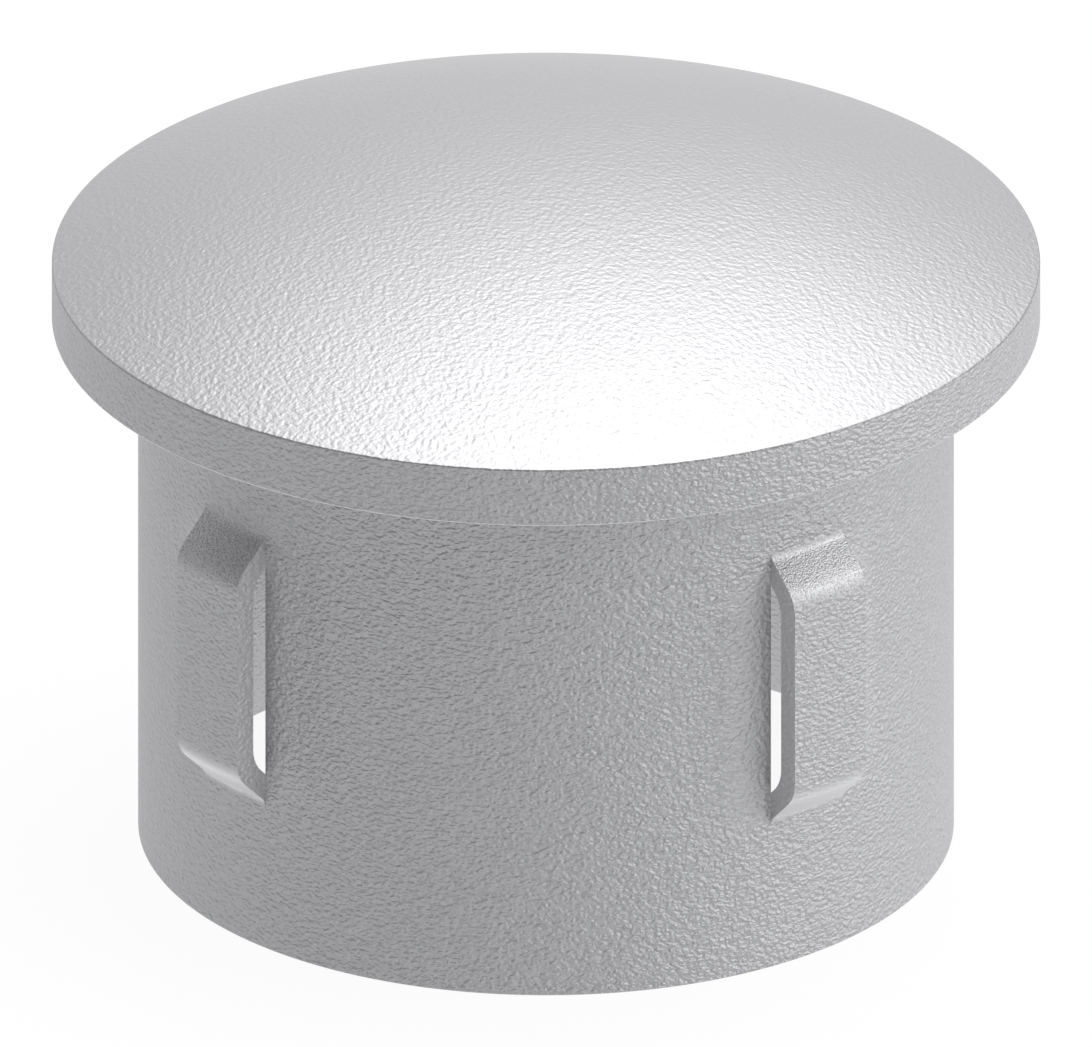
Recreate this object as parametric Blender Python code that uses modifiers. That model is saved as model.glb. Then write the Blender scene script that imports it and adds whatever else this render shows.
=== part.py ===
"""A domed end cap for a round tube, formed from one sheet of steel.

The skirt goes into the tube, the head's flat underside seats on the tube's end, and four
bridges lanced out of the skirt grip the bore. The cap stands on the open end of its skirt.
The origin is the centre of that end, +Z runs up the axis, and the first bridge is on +X.
Every length is in metres.
"""

import math

import bpy

INCH = 0.0254

# The sheet, and the head and skirt that it is drawn into.
SHEET = 0.036 * INCH
HEAD_DIAMETER = 1.660 * INCH
RIM_HEIGHT = 0.104 * INCH
DOME_RISE = 0.158 * INCH
SKIRT_DIAMETER = 1.370 * INCH
SKIRT_LENGTH = 0.9375 * INCH

# The bends of the head. The fold is where the sheet turns back under the dome at the rim.
RIM_EDGE_RADIUS = 0.004 * INCH
NECK_RADIUS = 0.015 * INCH
FOLD_RADIUS = 0.014 * INCH

# The bridges. A bridge leaves the skirt at a root, climbs a ramp to its crest and comes back
# in the same way. Its length is measured between the corners of its two roots.
BRIDGE_COUNT = 4
BRIDGE_WIDTH = 0.156 * INCH
BRIDGE_LENGTH = 0.487 * INCH
BRIDGE_BELOW_HEAD = 0.178 * INCH
BRIDGE_HEIGHT = 0.0625 * INCH
RAMP_ANGLE = math.radians(45)
CREST_RADIUS = 0.0625 * INCH
ROOT_RADIUS = 0.027 * INCH

# How finely round forms are divided.
TURN_STEPS = 96
DOME_STEPS = 10
BEND_STEPS = 4
EDGE_STEPS = 2
SMOOTH_ANGLE = math.radians(30)

# How far a cutter reaches past the face that it cuts.
CUT_PAST = 0.0005
# Points of a turned shape closer than this are one point, as at the pole of the dome.
MERGE_DISTANCE = 0.000001

STEEL_GREY = (0.46, 0.46, 0.47, 1.0)
STEEL_ROUGHNESS = 0.42

HEAD_RADIUS = HEAD_DIAMETER / 2
SKIRT_RADIUS = SKIRT_DIAMETER / 2
BORE_RADIUS = SKIRT_RADIUS - SHEET
SEAT_Z = SKIRT_LENGTH
RIM_TOP_Z = SEAT_Z + RIM_HEIGHT
DOME_RADIUS = (HEAD_RADIUS**2 + DOME_RISE**2) / (2 * DOME_RISE)
DOME_CENTRE_Z = RIM_TOP_Z + DOME_RISE - DOME_RADIUS


def rounded(corners):
    """Return an outline whose corners are replaced by tangent arcs.

    Each corner is (radius from the axis, height, bend radius, steps of the bend). A bend is
    held to just under half of the shorter side that meets at its corner.
    """
    points = []
    for index, (x, z, bend, steps) in enumerate(corners):
        if bend == 0:
            points.append((x, z))
            continue
        before = corners[index - 1]
        after = corners[(index + 1) % len(corners)]
        back = (before[0] - x, before[1] - z)
        ahead = (after[0] - x, after[1] - z)
        back_length = math.hypot(*back)
        ahead_length = math.hypot(*ahead)
        back = (back[0] / back_length, back[1] / back_length)
        ahead = (ahead[0] / ahead_length, ahead[1] / ahead_length)
        half_opening = math.acos(back[0] * ahead[0] + back[1] * ahead[1]) / 2
        tangent = min(bend / math.tan(half_opening), 0.49 * min(back_length, ahead_length))
        bend = tangent * math.tan(half_opening)
        middle = (back[0] + ahead[0], back[1] + ahead[1])
        reach = bend / math.sin(half_opening) / math.hypot(*middle)
        centre = (x + middle[0] * reach, z + middle[1] * reach)
        start = math.atan2(z + back[1] * tangent - centre[1], x + back[0] * tangent - centre[0])
        end = math.atan2(z + ahead[1] * tangent - centre[1], x + ahead[0] * tangent - centre[0])
        sweep = math.remainder(end - start, math.tau)
        for step in range(steps + 1):
            angle = start + sweep * step / steps
            points.append((centre[0] + bend * math.cos(angle), centre[1] + bend * math.sin(angle)))
    return points


def dome(sphere_radius, edge_radius):
    """Return a dome's outline as corners with no bend, from its pole to its edge."""
    edge_angle = math.asin(edge_radius / sphere_radius)
    corners = []
    for step in range(DOME_STEPS + 1):
        angle = edge_angle * step / DOME_STEPS
        x = sphere_radius * math.sin(angle)
        z = DOME_CENTRE_Z + sphere_radius * math.cos(angle)
        corners.append((x, z, 0, 0))
    return corners


def cap_outline():
    """Return the cap's section: down its outside from the pole, and up its inside to the pole."""
    outside = dome(DOME_RADIUS, HEAD_RADIUS)
    outside.append((HEAD_RADIUS, SEAT_Z, RIM_EDGE_RADIUS, EDGE_STEPS))
    outside.append((SKIRT_RADIUS, SEAT_Z, NECK_RADIUS, EDGE_STEPS))
    outside.append((SKIRT_RADIUS, 0, 0, 0))
    inside = [(BORE_RADIUS, 0, 0, 0)]
    inside.append((BORE_RADIUS, SEAT_Z + SHEET, NECK_RADIUS + SHEET, BEND_STEPS))
    inside.append((HEAD_RADIUS - SHEET, SEAT_Z + SHEET, FOLD_RADIUS, EDGE_STEPS))
    under_dome = dome(DOME_RADIUS - SHEET, HEAD_RADIUS - SHEET)
    x, z, _, _ = under_dome.pop()
    inside.append((x, z, FOLD_RADIUS, EDGE_STEPS))
    inside.extend(reversed(under_dome))
    return rounded(outside + inside)


def bridge_face(depth, crest_bend, root_bend, foot_radius):
    """Return one face of a bridge as a closed section, with its foot on a radius in the wall.

    The depth is 0 on the outer face and the sheet's thickness on the inner one. A face that
    lies deeper keeps the ramps parallel, so its corners move towards the bridge's middle.
    """
    shift = depth * math.tan(RAMP_ANGLE / 2)
    climb = BRIDGE_HEIGHT / math.tan(RAMP_ANGLE)
    root_top = SEAT_Z - BRIDGE_BELOW_HEAD - shift
    root_bottom = SEAT_Z - BRIDGE_BELOW_HEAD - BRIDGE_LENGTH + shift
    root_radius = SKIRT_RADIUS - depth
    crest_radius = root_radius + BRIDGE_HEIGHT
    run = root_bend * math.tan(RAMP_ANGLE / 2)
    outline = rounded(
        [
            (root_radius, root_top + 2 * run, 0, 0),
            (root_radius, root_top, root_bend, BEND_STEPS),
            (crest_radius, root_top - climb, crest_bend, BEND_STEPS),
            (crest_radius, root_bottom + climb, crest_bend, BEND_STEPS),
            (root_radius, root_bottom, root_bend, BEND_STEPS),
            (root_radius, root_bottom - 2 * run, 0, 0),
        ]
    )
    # The ends and the first points of the root bends only touch the wall, so they are left out.
    crossing = outline[2:-2]
    foot_top = (foot_radius, root_top + run)
    foot_bottom = (foot_radius, root_bottom - run)
    return [foot_top, *crossing, foot_bottom]


def turned(name, outline, closed, collection):
    """Turn an outline that runs down its outer side into a solid of revolution."""
    count = len(outline)
    edges = [(index, index + 1) for index in range(count - 1)]
    if closed:
        edges.append((count - 1, 0))
    mesh = bpy.data.meshes.new(name)
    mesh.from_pydata([(x, 0, z) for x, z in outline], edges, [])
    piece = bpy.data.objects.new(name, mesh)
    collection.objects.link(piece)
    screw = piece.modifiers.new("turn", "SCREW")
    screw.steps = TURN_STEPS
    screw.render_steps = TURN_STEPS
    screw.use_merge_vertices = True
    screw.merge_threshold = MERGE_DISTANCE
    return piece


def bridge_bars(collection):
    """Return the bars that cut a turned ring into bridges, as one star with parallel arms."""
    half_width = BRIDGE_WIDTH / 2
    reach = SKIRT_RADIUS + BRIDGE_HEIGHT + CUT_PAST
    spacing = math.tau / BRIDGE_COUNT
    notch = half_width / math.sin(spacing / 2)
    corners = []
    for arm in range(BRIDGE_COUNT):
        angle = arm * spacing
        along = (math.cos(angle), math.sin(angle))
        for side in (-half_width, half_width):
            x = reach * along[0] - side * along[1]
            y = reach * along[1] + side * along[0]
            corners.append((x, y, 0))
        middle = angle + spacing / 2
        corners.append((notch * math.cos(middle), notch * math.sin(middle), 0))
    mesh = bpy.data.meshes.new("bridge_bars")
    mesh.from_pydata(corners, [], [range(len(corners))])
    bars = bpy.data.objects.new("bridge_bars", mesh)
    collection.objects.link(bars)
    thicken = bars.modifiers.new("thicken", "SOLIDIFY")
    thicken.thickness = SKIRT_LENGTH
    thicken.offset = 1
    return bars


def boolean(piece, operation, other):
    """Add a Boolean to a piece with another closed piece."""
    modifier = piece.modifiers.new(other.name, "BOOLEAN")
    modifier.operation = operation
    modifier.object = other


def helper(piece):
    """Mark a piece as a helper that isn't part of the cap."""
    piece.hide_render = True
    piece.display_type = "WIRE"


def steel():
    """Return the cap's bare steel."""
    material = bpy.data.materials.new("bare_steel")
    material.use_nodes = True
    shader = material.node_tree.nodes["Principled BSDF"]
    shader.inputs["Base Color"].default_value = STEEL_GREY
    shader.inputs["Metallic"].default_value = 1.0
    shader.inputs["Roughness"].default_value = STEEL_ROUGHNESS
    return material


def settle(piece):
    """Apply a piece's modifiers and shade it smooth, apart from its real edges."""
    graph = bpy.context.evaluated_depsgraph_get()
    mesh = bpy.data.meshes.new_from_object(piece.evaluated_get(graph))
    piece.modifiers.clear()
    piece.data = mesh
    mesh.shade_smooth()
    mesh.set_sharp_from_angle(angle=SMOOTH_ANGLE)


def main():
    for item in list(bpy.data.objects):
        bpy.data.objects.remove(item)
    parts = bpy.data.collections.new("tube_end_cap")
    cutters = bpy.data.collections.new("cutters")
    bpy.context.scene.collection.children.link(parts)
    bpy.context.scene.collection.children.link(cutters)

    cap = turned("end_cap", cap_outline(), False, parts)
    bars = bridge_bars(cutters)
    outer_face = bridge_face(0, CREST_RADIUS, ROOT_RADIUS, SKIRT_RADIUS - SHEET / 2)
    inner_face = bridge_face(SHEET, CREST_RADIUS, ROOT_RADIUS + SHEET, BORE_RADIUS - CUT_PAST)
    bridge_outside = turned("bridge_outside", outer_face, True, cutters)
    bridge_inside = turned("bridge_inside", inner_face, True, cutters)
    boolean(bridge_outside, "INTERSECT", bars)
    boolean(bridge_inside, "INTERSECT", bars)
    boolean(cap, "UNION", bridge_outside)
    boolean(cap, "DIFFERENCE", bridge_inside)
    for piece in (bars, bridge_outside, bridge_inside):
        helper(piece)
    settle(cap)
    cap.data.materials.append(steel())


main()
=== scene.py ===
"""Looks of a domed sheet-steel tube end cap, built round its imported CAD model.

The cap is one sheet: a domed head with an upright rim that folds back under, a skirt, and
four bridges lanced out of the skirt. It is drawn here as one fine closed surface. Lengths
are in metres and angles in radians, apart from azimuths and elevations, which are in degrees:
an azimuth turns from -Y towards +X, and an elevation rises from the horizon.
"""

import math

import bmesh
import bpy
import numpy as np
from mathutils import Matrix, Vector


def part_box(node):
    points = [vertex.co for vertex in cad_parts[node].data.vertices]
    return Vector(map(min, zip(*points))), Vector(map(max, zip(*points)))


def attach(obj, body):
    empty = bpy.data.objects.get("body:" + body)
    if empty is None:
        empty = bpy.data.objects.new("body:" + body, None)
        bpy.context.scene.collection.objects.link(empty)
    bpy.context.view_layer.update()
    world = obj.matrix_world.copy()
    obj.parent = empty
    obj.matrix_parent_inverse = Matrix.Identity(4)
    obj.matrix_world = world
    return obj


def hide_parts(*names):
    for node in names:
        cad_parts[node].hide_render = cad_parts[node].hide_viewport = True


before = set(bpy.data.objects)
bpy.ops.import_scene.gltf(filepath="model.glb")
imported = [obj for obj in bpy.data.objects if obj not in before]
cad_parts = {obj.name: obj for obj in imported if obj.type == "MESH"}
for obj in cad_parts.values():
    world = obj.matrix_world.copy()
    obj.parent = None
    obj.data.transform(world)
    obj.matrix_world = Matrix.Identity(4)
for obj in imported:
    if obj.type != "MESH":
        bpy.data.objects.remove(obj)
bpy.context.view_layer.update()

MM = 0.001
INCH = 25.4 * MM

# The cap's sizes. Its overall diameter and height come from the CAD node.
cap_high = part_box("end_cap")[1]
HEAD_RADIUS = cap_high.x
TOP_Z = cap_high.z
SHEET = 0.036 * INCH
SKIRT_RADIUS = 0.685 * INCH
BORE_RADIUS = SKIRT_RADIUS - SHEET
SEAT_Z = 0.9375 * INCH
RIM_TOP_Z = SEAT_Z + 0.104 * INCH
DOME_RISE = TOP_Z - RIM_TOP_Z
DOME_RADIUS = (HEAD_RADIUS**2 + DOME_RISE**2) / (2 * DOME_RISE)
DOME_CENTRE_Z = TOP_Z - DOME_RADIUS

# Bends and edges. The edges are what pressing and trimming leave.
RIM_TOP_EDGE = 0.08 * MM
RIM_LOW_EDGE = 0.07 * MM
END_EDGE = 0.08 * MM
NECK_BEND = 0.015 * INCH
FOLD_BEND = 0.014 * INCH

# The bridges.
BRIDGE_COUNT = 4
BRIDGE_WIDTH = 0.156 * INCH
BRIDGE_HEIGHT = 0.0625 * INCH
BRIDGE_TOP_Z = SEAT_Z - 0.178 * INCH
BRIDGE_LOW_Z = BRIDGE_TOP_Z - 0.487 * INCH
RAMP_ANGLE = math.radians(45)
CREST_BEND = 0.0625 * INCH
ROOT_BEND = 0.027 * INCH

# How finely the surface is drawn.
DOME_STEPS = 40
EDGE_STEPS = 4
BEND_STEPS = 8
STRIP_COLUMNS = 9
WALL_COLUMNS = 49
WELD = 0.0001 * MM
SHARP_ANGLE = math.radians(30)
# Beside a bend, a flat face is held flat from EDGE_HOLD of the bend's radius on, or from
# FACE_HOLD of the face's own width where that is nearer.
EDGE_HOLD = 0.4
FACE_HOLD = 0.4

# The finishes, by their place among the cap's materials.
OUTSIDE_FINISH = 0
CUT_FINISH = 1
INSIDE_FINISH = 2

# Where the sheet is worn or formed, and where light and shade are painted on it. The first value
# is how far the rim's low edge is worn smooth and lightened with a painted highlight. A bridge's
# top ramp is stretched by RAMP_STRETCH times its lean, up to wholly. Beside a cut the wall rolls
# in and is lightened with painted light against the shade the bridge casts there, fading over
# the count of columns below, about 2.4 mm. A painted shade line lies along the rim's top edge,
# over the two shares of its bend below, inwards and downwards.
RIM_EDGE_RUB_AND_HIGHLIGHT = 0.6
RAMP_STRETCH = 2
ROLLED_AND_PAINTED_LIGHT_COLUMNS = 5
SHADE_LINE_INWARDS = 0.3
SHADE_LINE_DOWNWARDS = 0.8

# The grain that blasting leaves: pebbles of this width and detail, a little wider than high,
# and the depth of their relief on each part of the sheet.
PEBBLE_SIZE = 0.24 * MM
PEBBLE_DETAIL = 1.0
GRAIN_FLATNESS = 1.4
WALL_GRAIN = 0.2 * MM
DOME_GRAIN = 0.048 * MM
RUBBED_GRAIN = 0.01 * MM
STRETCHED_GRAIN = 0.01 * MM
ROLLED_GRAIN = 0.05 * MM
SHEARED_GRAIN = 0.04 * MM
DRAWN_GRAIN = 0.05 * MM

# The grit that opens where the sheet is stretched. The real one is too fine to show, so it is
# drawn as coarse as it needs to show. Its spots begin to be pits at a value of PITTED_FROM,
# and are wholly so from PITTED_WHOLLY.
GRIT_SIZE = 0.08 * MM
GRIT_DETAIL = 0.0
GRIT_DEPTH = 0.018 * MM
PITTED_FROM = 0.4
PITTED_WHOLLY = 0.7

# A face whose normal rises less than WALL_TILT has the walls' finish, and one whose normal
# rises more than DOME_TILT has the dome's.
WALL_TILT = 0.3
DOME_TILT = 0.7

# The roughness and colour of each finish. Steel is a near-neutral grey.
WALL_ROUGHNESS = 0.62
DOME_ROUGHNESS = 0.42
RUBBED_ROUGHNESS = 0.4
SHEARED_ROUGHNESS = 0.45
DRAWN_ROUGHNESS = 0.42
BLASTED_GREY = "B7B7B9"
# Painted highlight: the rim's low edge and the bridges' down-facing ramps are lightened to this
# grey, in place of their bright reflection.
PAINTED_HIGHLIGHT_GREY = "EAEAEC"
# Painted light: the wall beside each cut is lightened to this grey against the shade the bridge
# casts there.
BESIDE_CUT_PAINTED_LIGHT_GREY = "C2C2C4"
# Painted shade: a thin line along the rim's top edge is darkened to this grey.
PAINTED_SHADE_GREY = "9C9C9E"
PITTED_GREY = "979799"
# Partly painted light: the cut sides are this lighter grey as freshly sheared steel and also to
# lift them out of their shade.
SHEARED_GREY_AND_PAINTED_LIGHT = "C8C8CA"
# Partly painted light: the inside is this lighter grey as unblasted steel and also to lift its
# shade.
DRAWN_GREY_AND_PAINTED_LIGHT = "BEBEC0"

# The photograph's view, with parallel rays. The frame is 1092 pixels wide.
VIEW_AZIMUTH = 50
VIEW_ELEVATION = 25
FRAME_WIDTH = 46.58 * MM
VIEW_CENTRE_Z = 14.12 * MM
VIEW_DISTANCE = 0.3
VIEW_START = 0.001
VIEW_END = 10

# The studio. The room is even and pale, and each soft light in it is
# (azimuth, elevation, focus, strength). White is a strength of 1.
WHITE = 1.0
ROOM_LIGHT = 0.3
SOFT_LIGHTS = [
    (200, 62, 12, 2.17),
    (230, 62, 12, 0.76),
    (0, 90, 12, 2.39),
    (130, 15, 8, 4.0),
    (230, 8, 4, 0.65),
    (285, 5, 12, 0.98),
]
FLOOR_HALF = 0.6
FLOOR_WHITE_SHARE = 0.93
FLOOR_PALE = "F4F4F4"


def arc_corner(before, corner, after, bend, steps):
    """Points of a circular arc of radius bend that touches both sides of a corner."""
    back = (before - corner) / np.linalg.norm(before - corner)
    ahead = (after - corner) / np.linalg.norm(after - corner)
    half_opening = np.arccos(np.clip(back @ ahead, -1, 1)) / 2
    tangent = bend / np.tan(half_opening)
    middle = (back + ahead) / np.linalg.norm(back + ahead)
    centre = corner + middle * bend / np.sin(half_opening)
    start = corner + back * tangent - centre
    end = corner + ahead * tangent - centre
    first = np.arctan2(start[1], start[0])
    sweep = math.remainder(np.arctan2(end[1], end[0]) - first, math.tau)
    angle = first + sweep * np.linspace(0, 1, steps + 1)
    return centre + bend * np.stack([np.cos(angle), np.sin(angle)], 1)


def section(corners):
    """A section of the sheet as rows (radius, height): corners joined by straight lines.

    A corner is (radius, height, bend, steps). One with a bend becomes an arc, with a point
    just before and after it that keeps the flat faces beside a small edge flat in shade.
    """
    places = np.array([corner[:2] for corner in corners], float)
    arcs = []
    for index, (_, _, bend, steps) in enumerate(corners):
        if bend == 0:
            arcs.append(places[index : index + 1])
        else:
            arcs.append(arc_corner(*places[index - 1 : index + 2], bend, steps))
    rows = [arcs[0]]
    for index in range(1, len(arcs)):
        side = arcs[index][0] - arcs[index - 1][-1]
        reach = EDGE_HOLD / np.linalg.norm(side)
        if corners[index - 1][2]:
            hold = min(corners[index - 1][2] * reach, FACE_HOLD)
            rows.append(arcs[index - 1][-1:] + side * hold)
        if corners[index][2]:
            hold = min(corners[index][2] * reach, FACE_HOLD)
            rows.append(arcs[index][:1] - side * hold)
        rows.append(arcs[index])
    return np.concatenate(rows)


def dome(sphere_radius, edge_radius, steps):
    """A dome's section from pole to edge: equal steps of angle on a sphere about the axis."""
    angle = np.linspace(0, math.asin(edge_radius / sphere_radius), steps + 1)
    x = sphere_radius * np.sin(angle)
    z = DOME_CENTRE_Z + sphere_radius * np.cos(angle)
    return [(*point, 0, 0) for point in zip(x, z)]


def bridge_face(depth, root_bend):
    """One face of a bridge from its top root to its bottom root, depth below the outer face.

    The path goes from the wall up a ramp to the crest, along it and back down, with an arc at
    each of the four corners.
    """
    shift = depth * math.tan(RAMP_ANGLE / 2)
    climb = BRIDGE_HEIGHT / math.tan(RAMP_ANGLE)
    top = BRIDGE_TOP_Z - shift
    low = BRIDGE_LOW_Z + shift
    wall = SKIRT_RADIUS - depth
    crest = wall + BRIDGE_HEIGHT
    run = root_bend * math.tan(RAMP_ANGLE / 2)
    corners = [
        (wall, top + 2 * run, 0, 0),
        (wall, top, root_bend, BEND_STEPS),
        (crest, top - climb, CREST_BEND, BEND_STEPS),
        (crest, low + climb, CREST_BEND, BEND_STEPS),
        (wall, low, root_bend, BEND_STEPS),
        (wall, low - 2 * run, 0, 0),
    ]
    return section(corners)[2:-2]


def cap_sections():
    """The sheet's section through the plain wall, and the same through a bridge.

    Each is rows (radius, height) from the dome's pole down the outside, round the open end and
    up the inside. They differ only in the radius of the bridge's outer and inner face. The
    rows of those two faces come next, as slices, and then the first row of the inside.
    """
    bridge_out = bridge_face(0, ROOT_BEND)
    bridge_in = bridge_face(SHEET, ROOT_BEND + SHEET)[::-1]
    root_top = bridge_out[0, 1]
    root_low = bridge_out[-1, 1]
    outside = dome(DOME_RADIUS, HEAD_RADIUS, DOME_STEPS)
    edge = outside.pop()
    outside += [
        (*edge[:2], RIM_TOP_EDGE, EDGE_STEPS),
        (HEAD_RADIUS, SEAT_Z, RIM_LOW_EDGE, EDGE_STEPS),
        (SKIRT_RADIUS, SEAT_Z, NECK_BEND, EDGE_STEPS),
        (SKIRT_RADIUS, root_top, 0, 0),
    ]
    end = [
        (SKIRT_RADIUS, root_low, 0, 0),
        (SKIRT_RADIUS, 0, END_EDGE, EDGE_STEPS),
        (BORE_RADIUS, 0, END_EDGE, EDGE_STEPS),
        (BORE_RADIUS, root_low, 0, 0),
    ]
    under_dome = dome(DOME_RADIUS - SHEET, HEAD_RADIUS - SHEET, DOME_STEPS // 2)
    fold = under_dome.pop()
    inside = [
        (BORE_RADIUS, root_top, 0, 0),
        (BORE_RADIUS, SEAT_Z + SHEET, NECK_BEND + SHEET, BEND_STEPS),
        (HEAD_RADIUS - SHEET, SEAT_Z + SHEET, FOLD_BEND, EDGE_STEPS),
        (*fold[:2], FOLD_BEND, EDGE_STEPS),
        *reversed(under_dome),
    ]
    head = section(outside)[:-1]
    end = section(end)[1:-1]
    inside = section(inside)[1:]
    lanced = np.concatenate([head, bridge_out, end, bridge_in, inside])
    outer = slice(len(head), len(head) + len(bridge_out))
    inner = slice(outer.stop + len(end), outer.stop + len(end) + len(bridge_in))
    plain = lanced.copy()
    plain[outer, 0] = SKIRT_RADIUS
    plain[inner, 0] = BORE_RADIUS
    first_inside = outer.stop + len(end) // 2
    return plain, lanced, outer, inner, first_inside


def lean(rows):
    """How far the outer face of a section leans at each row, from -1 to 1.

    It is the sine of the angle between the row's direction and the vertical, positive where
    the face looks up and negative where it looks down.
    """
    along = np.gradient(rows, axis=0)
    return along[:, 0] / np.hypot(*along.T)


def worn_and_painted_places(plain, lanced, outer, on_strip, from_cut):
    """How far each point is worn, formed or painted with light and shade in each way, from 0 to
    1, by the way's name.

    The rim's low edge in part, and the bridges where they look down, by the square of their lean,
    are worn smooth and lightened with a painted highlight. Stretched are the bridges where they
    look up. The wall beside a cut rolls in and is lightened with painted light against the
    bridge's shade, by how far the bridge stands out there, less and less away from the cut. The
    rim's top edge carries a painted shade line.
    """
    radius, height = plain.T
    ramp = np.zeros(len(plain))
    ramp[outer] = lean(lanced[outer]) / math.sin(RAMP_ANGLE)
    standing_out = np.zeros(len(plain))
    standing_out[outer] = (lanced[outer, 0] - SKIRT_RADIUS) / BRIDGE_HEIGHT
    # Beside a cut the wall rolls in, and it is lightened with painted light against the bridge's
    # shade.
    beside_cut = np.clip(1 - from_cut / ROLLED_AND_PAINTED_LIGHT_COLUMNS, 0, 1)
    # The rim's low edge is worn smooth and lightened with a painted highlight, and its top edge
    # is darkened with a painted shade line.
    low_edge = (radius > HEAD_RADIUS - RIM_LOW_EDGE) & (np.abs(height - SEAT_Z) < RIM_LOW_EDGE)
    top_edge = radius > HEAD_RADIUS - SHADE_LINE_INWARDS * RIM_TOP_EDGE
    top_edge &= height > RIM_TOP_Z - SHADE_LINE_DOWNWARDS * RIM_TOP_EDGE
    # Ramps that look down are worn smooth and lightened with a painted highlight.
    rubbed_and_highlit_ramp = np.outer(np.clip(-ramp, 0, 1) ** 2, on_strip)
    return {
        "rubbed_and_painted_highlight": (np.where(low_edge, RIM_EDGE_RUB_AND_HIGHLIGHT, 0.0)[:, None] + rubbed_and_highlit_ramp).ravel(),
        "stretched": np.outer(np.clip(RAMP_STRETCH * ramp, 0, 1), on_strip).ravel(),
        "rolled_and_painted_light": np.outer(standing_out, beside_cut).ravel(),
        "painted_shade_line": np.repeat(top_edge.astype(float), len(on_strip)),
    }


def quads_between(first, second):
    """Quads that join two grids of point numbers, from each row of both to the next."""
    corners = [first[:-1], first[1:], second[1:], second[:-1]]
    return np.stack(corners, -1).reshape(-1, 4)


def closed_mesh(name, points, quads, finishes, marks):
    """A mesh of quads whose shared points are made one, facing outwards.

    Each quad has the number of its finish in finishes. Each of the marks is the name of an
    attribute with its value at every point.
    """
    mesh = bpy.data.meshes.new(name)
    mesh.from_pydata(points, [], quads)
    mesh.polygons.foreach_set("material_index", finishes)
    for mark, values in marks.items():
        mesh.attributes.new(mark, "FLOAT", "POINT").data.foreach_set("value", values)
    build = bmesh.new()
    build.from_mesh(mesh)
    bmesh.ops.remove_doubles(build, verts=build.verts, dist=WELD)
    bmesh.ops.recalc_face_normals(build, faces=build.faces)
    build.to_mesh(mesh)
    build.free()
    mesh.shade_smooth()
    mesh.set_sharp_from_angle(angle=SHARP_ANGLE)
    piece = bpy.data.objects.new(name, mesh)
    bpy.context.scene.collection.objects.link(piece)
    return piece


def cap_surface():
    """The whole cap: its section carried round the axis, with the bridges' strips pushed out.

    Rows follow the section. Columns go round the axis: a strip of parallel columns for each
    bridge, then a stretch of wall. A point lies at (radius, angle, height), and a strip's angle
    is the arc sine of its sideways place over its radius, so its cut sides stay parallel. Where
    a strip leaves the wall, its cut side and the wall's are ruled from the outer to the inner
    face.
    """
    plain, lanced, outer, inner, first_inside = cap_sections()
    sheet_radius = np.clip(plain[:, 0], BORE_RADIUS, SKIRT_RADIUS)
    strip_radius = sheet_radius + lanced[:, 0] - plain[:, 0]

    half_width = BRIDGE_WIDTH / 2
    spacing = math.tau / BRIDGE_COUNT
    across = np.linspace(-half_width, half_width, STRIP_COLUMNS)
    strip_angle = np.arcsin(across / strip_radius[:, None])
    cut_angle = np.arcsin(half_width / sheet_radius)[:, None]
    share = np.linspace(0, 1, WALL_COLUMNS)
    wall_angle = cut_angle + share * (spacing - 2 * cut_angle)
    group_angle = np.concatenate([strip_angle, wall_angle], 1)
    angle = np.concatenate([group_angle + arm * spacing for arm in range(BRIDGE_COUNT)], 1)

    last_of_strip = STRIP_COLUMNS - 1
    last_of_wall = STRIP_COLUMNS + WALL_COLUMNS - 1
    place = np.arange(angle.shape[1]) % (last_of_wall + 1)
    on_strip = place < STRIP_COLUMNS
    radius = np.where(on_strip, lanced[:, :1], plain[:, :1])
    height = np.broadcast_to(lanced[:, 1:], angle.shape)
    points = np.stack([radius * np.cos(angle), radius * np.sin(angle), height], -1)

    index = np.arange(angle.size).reshape(angle.shape)
    joined = np.flatnonzero((place != last_of_strip) & (place != last_of_wall))
    skin = quads_between(index[:, joined], index[:, joined + 1])
    cut = np.flatnonzero(np.isin(place, [0, last_of_strip, STRIP_COLUMNS, last_of_wall]))
    cuts = quads_between(index[outer][:, cut], index[inner][::-1][:, cut])
    quads = np.concatenate([skin, cuts])

    skin_row = np.repeat(np.arange(len(plain) - 1), len(joined))
    skin_finish = np.where(skin_row < first_inside, OUTSIDE_FINISH, INSIDE_FINISH)
    finishes = np.concatenate([skin_finish, np.full(len(cuts), CUT_FINISH)])
    columns_away = np.minimum(place - STRIP_COLUMNS, last_of_wall - place)
    from_cut = np.where(on_strip, math.inf, columns_away)
    marks = worn_and_painted_places(plain, lanced, outer, on_strip, from_cut)
    return closed_mesh("cap_sheet", points.reshape(-1, 3), quads, finishes, marks)


def linear(hex_colour):
    """An sRGB hex colour as linear RGBA."""
    channels = [int(hex_colour[place : place + 2], 16) / 255 for place in (0, 2, 4)]
    return [c / 12.92 if c <= 0.04045 else ((c + 0.055) / 1.055) ** 2.4 for c in channels] + [1.0]


def add_node(tree, kind, settings=None):
    """Add a node with its settings and links.

    A key is the name of a property, or the name or number of an input. An input's value is a
    constant or the output of another node.
    """
    node = tree.nodes.new(kind)
    for key, value in (settings or {}).items():
        if isinstance(value, bpy.types.NodeSocket):
            tree.links.new(value, node.inputs[key])
        elif isinstance(key, str) and hasattr(node, key):
            setattr(node, key, value)
        else:
            node.inputs[key].default_value = value
    return node


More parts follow.
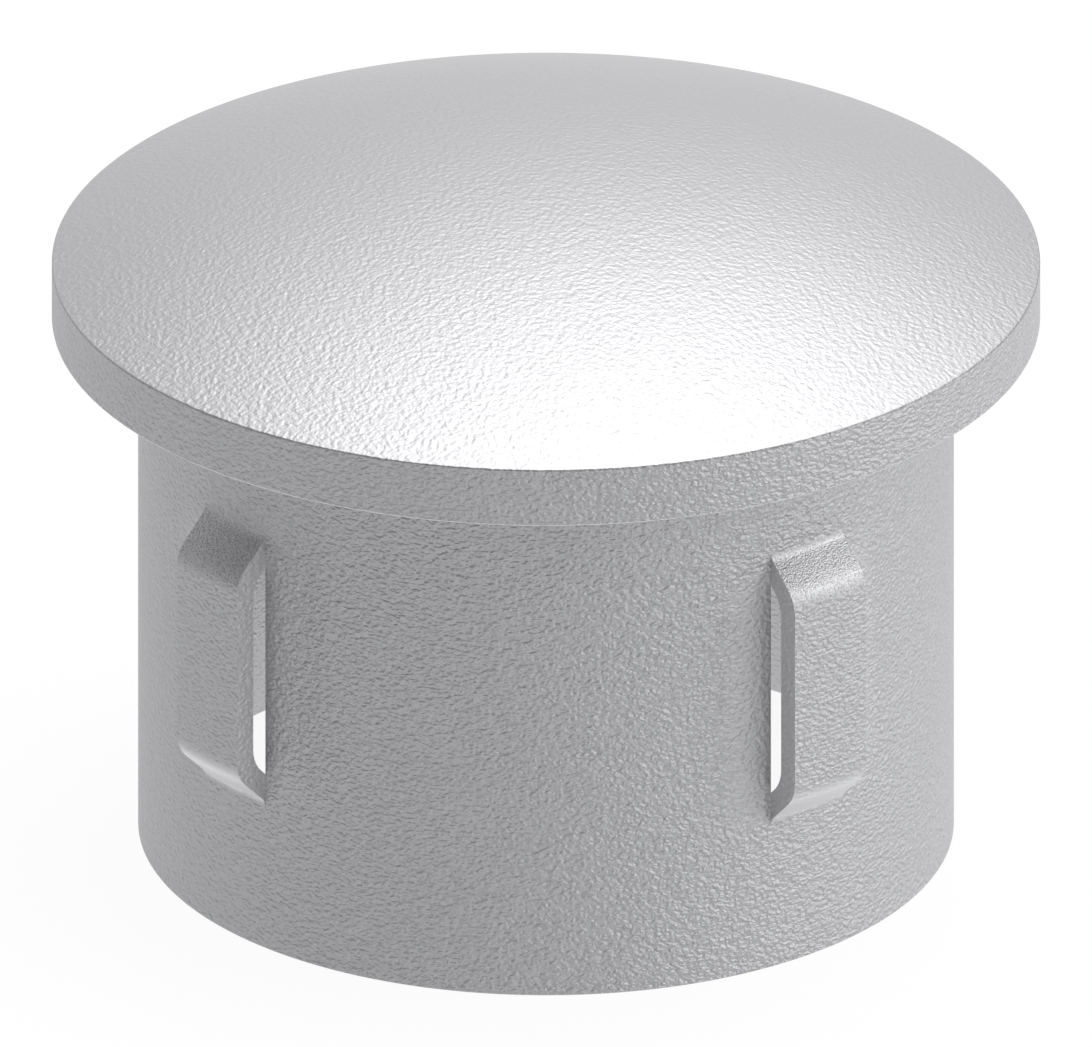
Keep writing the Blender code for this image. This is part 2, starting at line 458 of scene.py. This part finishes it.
def steel(name, grey, roughness):
    """A bare steel as (material, its tree, its shader)."""
    material = bpy.data.materials.new(name)
    material.use_nodes = True
    tree = material.node_tree
    shader = tree.nodes["Principled BSDF"]
    shader.inputs["Base Color"].default_value = linear(grey)
    shader.inputs["Metallic"].default_value = 1.0
    shader.inputs["Roughness"].default_value = roughness
    return material, tree, shader


def spots(tree, size, detail):
    """A random value from 0 to 1 over a piece, in rounded spots that are a little wide."""
    place = add_node(tree, "ShaderNodeTexCoord").outputs["Object"]
    flattened = add_node(
        tree,
        "ShaderNodeMapping",
        {"Vector": place, "Scale": (1, 1, GRAIN_FLATNESS)},
    )
    noise = add_node(
        tree,
        "ShaderNodeTexNoise",
        {"Vector": flattened.outputs["Vector"], "Scale": 1 / size, "Detail": detail},
    )
    return noise.outputs["Fac"]


def pebbled(tree, depth):
    """The normal of the pebbled grain that blasting leaves, with relief of this depth."""
    height = spots(tree, PEBBLE_SIZE, PEBBLE_DETAIL)
    return add_node(tree, "ShaderNodeBump", {"Height": height, "Distance": depth}).outputs[0]


def blasted_steel():
    """Drawn sheet steel, made dull by blasting: a satin grey with a fine pebbled grain.

    The drawn walls are the roughest, with the deepest grain, and the dome is the smoothest.
    Where the bridges slide into the tube, and on the rim's low edge, the steel is worn smooth,
    and its colour is lightened there as a painted highlight. Over a bridge's top ramp it is
    stretched, which flattens the pebbles and opens a fine grit of dark pits. Beside the cuts the
    wall rolls in plain, and its colour is lightened there as painted light against the shade the
    bridge casts. Along the rim's top edge a thin darker line is painted shade.
    """
    material, tree, shader = steel("blasted_steel", BLASTED_GREY, DOME_ROUGHNESS)
    marks = {}
    for name in ("rubbed_and_painted_highlight", "stretched", "rolled_and_painted_light", "painted_shade_line"):
        mark = add_node(tree, "ShaderNodeAttribute", {"attribute_name": name})
        marks[name] = mark.outputs["Fac"]
    face = add_node(tree, "ShaderNodeNewGeometry").outputs["Normal"]
    tilt = add_node(tree, "ShaderNodeSeparateXYZ", {"Vector": face}).outputs["Z"]
    on_dome = add_node(
        tree,
        "ShaderNodeMapRange",
        {"Value": tilt, "From Min": WALL_TILT, "From Max": DOME_TILT},
    ).outputs["Result"]
    grit = spots(tree, GRIT_SIZE, GRIT_DETAIL)
    pits = add_node(
        tree,
        "ShaderNodeMapRange",
        {"Value": grit, "From Min": PITTED_FROM, "From Max": PITTED_WHOLLY},
    ).outputs["Result"]
    pitted = add_node(
        tree,
        "ShaderNodeMath",
        {"operation": "MULTIPLY", 0: marks["stretched"], 1: pits},
    ).outputs[0]

    depth = WALL_GRAIN
    for share, over in (
        (on_dome, DOME_GRAIN),
        (marks["rubbed_and_painted_highlight"], RUBBED_GRAIN),
        (marks["stretched"], STRETCHED_GRAIN),
        (marks["rolled_and_painted_light"], ROLLED_GRAIN),
    ):
        depth = add_node(tree, "ShaderNodeMix", {0: share, 2: depth, 3: over}).outputs[0]
    grit_depth = add_node(
        tree,
        "ShaderNodeMath",
        {"operation": "MULTIPLY", 0: marks["stretched"], 1: GRIT_DEPTH},
    ).outputs[0]
    add_relief = {"Height": grit, "Distance": grit_depth, "Normal": pebbled(tree, depth)}
    relief = add_node(tree, "ShaderNodeBump", add_relief)
    tree.links.new(relief.outputs[0], shader.inputs["Normal"])

    roughness = WALL_ROUGHNESS
    for share, over in ((on_dome, DOME_ROUGHNESS), (marks["rubbed_and_painted_highlight"], RUBBED_ROUGHNESS)):
        roughness = add_node(tree, "ShaderNodeMix", {0: share, 2: roughness, 3: over}).outputs[0]
    tree.links.new(roughness, shader.inputs["Roughness"])

    # The colour lays on a painted highlight where worn smooth, painted light beside the cuts and
    # a painted shade line on the rim's top edge, then the grit's dark pits.
    colour = linear(BLASTED_GREY)
    for share, over in (
        (marks["rubbed_and_painted_highlight"], PAINTED_HIGHLIGHT_GREY),
        (marks["rolled_and_painted_light"], BESIDE_CUT_PAINTED_LIGHT_GREY),
        (marks["painted_shade_line"], PAINTED_SHADE_GREY),
        (pitted, PITTED_GREY),
    ):
        laid_on = {"data_type": "RGBA", 0: share, 6: colour, 7: linear(over)}
        colour = add_node(tree, "ShaderNodeMix", laid_on).outputs[2]
    tree.links.new(colour, shader.inputs["Base Color"])
    return material


def sheared_steel_and_painted_light():
    """Steel where the sheet was sheared: plain, with only a trace of grain.

    Its grey is lighter than the blasted steel's, partly as freshly sheared steel and partly as
    painted light that lifts the cut sides out of the shade between bridge and wall.
    """
    material, tree, shader = steel("sheared_steel_and_painted_light", SHEARED_GREY_AND_PAINTED_LIGHT, SHEARED_ROUGHNESS)
    tree.links.new(pebbled(tree, SHEARED_GRAIN), shader.inputs["Normal"])
    return material


def drawn_steel_and_painted_light():
    """Steel inside the cap, as drawn, where no blast reaches: smoother, with a soft grain.

    Its grey is a little lighter than the blasted steel's, partly as unblasted steel and partly
    as painted light that lifts the shaded inside of the cap.
    """
    material, tree, shader = steel("drawn_steel_and_painted_light", DRAWN_GREY_AND_PAINTED_LIGHT, DRAWN_ROUGHNESS)
    tree.links.new(pebbled(tree, DRAWN_GRAIN), shader.inputs["Normal"])
    return material


def background_rays(tree):
    """1 for a ray that sees the background, directly or in metal or glass, and 0 for others."""
    path = add_node(tree, "ShaderNodeLightPath")
    seen = path.outputs["Is Camera Ray"]
    for name in ("Is Glossy Ray", "Is Transmission Ray"):
        either = {"operation": "MAXIMUM", 0: seen, 1: path.outputs[name]}
        seen = add_node(tree, "ShaderNodeMath", either).outputs[0]
    return seen


def floor():
    """A plain pale floor. What sees it directly or in a reflection sees it near white.

    Its white is for those rays alone, so it isn't sampled as a lamp.
    """
    mesh = bpy.data.meshes.new("floor")
    signs = ((-1, -1), (1, -1), (1, 1), (-1, 1))
    corners = [(x * FLOOR_HALF, y * FLOOR_HALF, 0) for x, y in signs]
    mesh.from_pydata(corners, [], [(0, 1, 2, 3)])
    piece = bpy.data.objects.new("floor", mesh)
    bpy.context.scene.collection.objects.link(piece)
    material = bpy.data.materials.new("pale_floor")
    material.use_nodes = True
    tree = material.node_tree
    tree.nodes.clear()
    share = add_node(
        tree,
        "ShaderNodeMath",
        {"operation": "MULTIPLY", 0: background_rays(tree), 1: FLOOR_WHITE_SHARE},
    )
    lit = add_node(tree, "ShaderNodeBsdfDiffuse", {"Color": linear(FLOOR_PALE)})
    white = add_node(tree, "ShaderNodeEmission", {"Strength": WHITE})
    surface = add_node(
        tree,
        "ShaderNodeMixShader",
        {0: share.outputs[0], 1: lit.outputs[0], 2: white.outputs[0]},
    )
    add_node(tree, "ShaderNodeOutputMaterial", {"Surface": surface.outputs[0]})
    material.cycles.emission_sampling = "NONE"
    mesh.materials.append(material)
    return piece


def direction(azimuth, elevation):
    """The unit vector that points to an azimuth and elevation."""
    turn = math.radians(azimuth)
    rise = math.radians(elevation)
    return Vector(
        (math.sin(turn) * math.cos(rise), -math.cos(turn) * math.cos(rise), math.sin(rise))
    )


def camera():
    """The photograph's camera."""
    data = bpy.data.cameras.new("camera")
    data.type = "ORTHO"
    data.ortho_scale = FRAME_WIDTH
    eye = bpy.data.objects.new("camera", data)
    bpy.context.scene.collection.objects.link(eye)
    back = direction(VIEW_AZIMUTH, VIEW_ELEVATION)
    eye.location = Vector((0, 0, VIEW_CENTRE_Z)) + back * VIEW_DISTANCE
    eye.rotation_mode = "QUATERNION"
    eye.rotation_quaternion = (-back).to_track_quat("-Z", "Y")
    data.clip_start = VIEW_START
    data.clip_end = VIEW_END
    bpy.context.scene.camera = eye


def studio():
    """An even pale room with soft lights.

    A light's strength in a direction is its own strength times the cosine of the angle from
    its middle, raised to its focus. Below the horizon, past the floor's edge, the floor's
    white goes on.
    """
    world = bpy.data.worlds.new("studio")
    bpy.context.scene.world = world
    world.use_nodes = True
    tree = world.node_tree
    view = add_node(tree, "ShaderNodeTexCoord").outputs["Generated"]
    level = ROOM_LIGHT
    for azimuth, elevation, focus, strength in SOFT_LIGHTS:
        towards = {"operation": "DOT_PRODUCT", 0: view, 1: direction(azimuth, elevation)}
        cosine = add_node(tree, "ShaderNodeVectorMath", towards).outputs["Value"]
        ahead = add_node(tree, "ShaderNodeMath", {"operation": "MAXIMUM", 0: cosine, 1: 0.0})
        lobe = add_node(
            tree,
            "ShaderNodeMath",
            {"operation": "POWER", 0: ahead.outputs[0], 1: focus},
        )
        added = add_node(
            tree,
            "ShaderNodeMath",
            {"operation": "MULTIPLY_ADD", 0: lobe.outputs[0], 1: strength, 2: level},
        )
        level = added.outputs[0]
    height = add_node(tree, "ShaderNodeSeparateXYZ", {"Vector": view}).outputs["Z"]
    below = add_node(tree, "ShaderNodeMath", {"operation": "LESS_THAN", 0: height, 1: 0.0})
    far_floor = add_node(
        tree,
        "ShaderNodeMath",
        {"operation": "MULTIPLY", 0: below.outputs[0], 1: background_rays(tree)},
    )
    background = tree.nodes["Background"]
    background.inputs["Color"].default_value = (1, 1, 1, 1)
    strength = add_node(tree, "ShaderNodeMix", {0: far_floor.outputs[0], 2: level, 3: WHITE})
    tree.links.new(strength.outputs[0], background.inputs["Strength"])


cap = cap_surface()
for finish in (blasted_steel(), sheared_steel_and_painted_light(), drawn_steel_and_painted_light()):
    cap.data.materials.append(finish)
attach(cap, "root")
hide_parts("end_cap")
floor()
camera()
studio()
bpy.context.scene.view_settings.view_transform = "Standard"
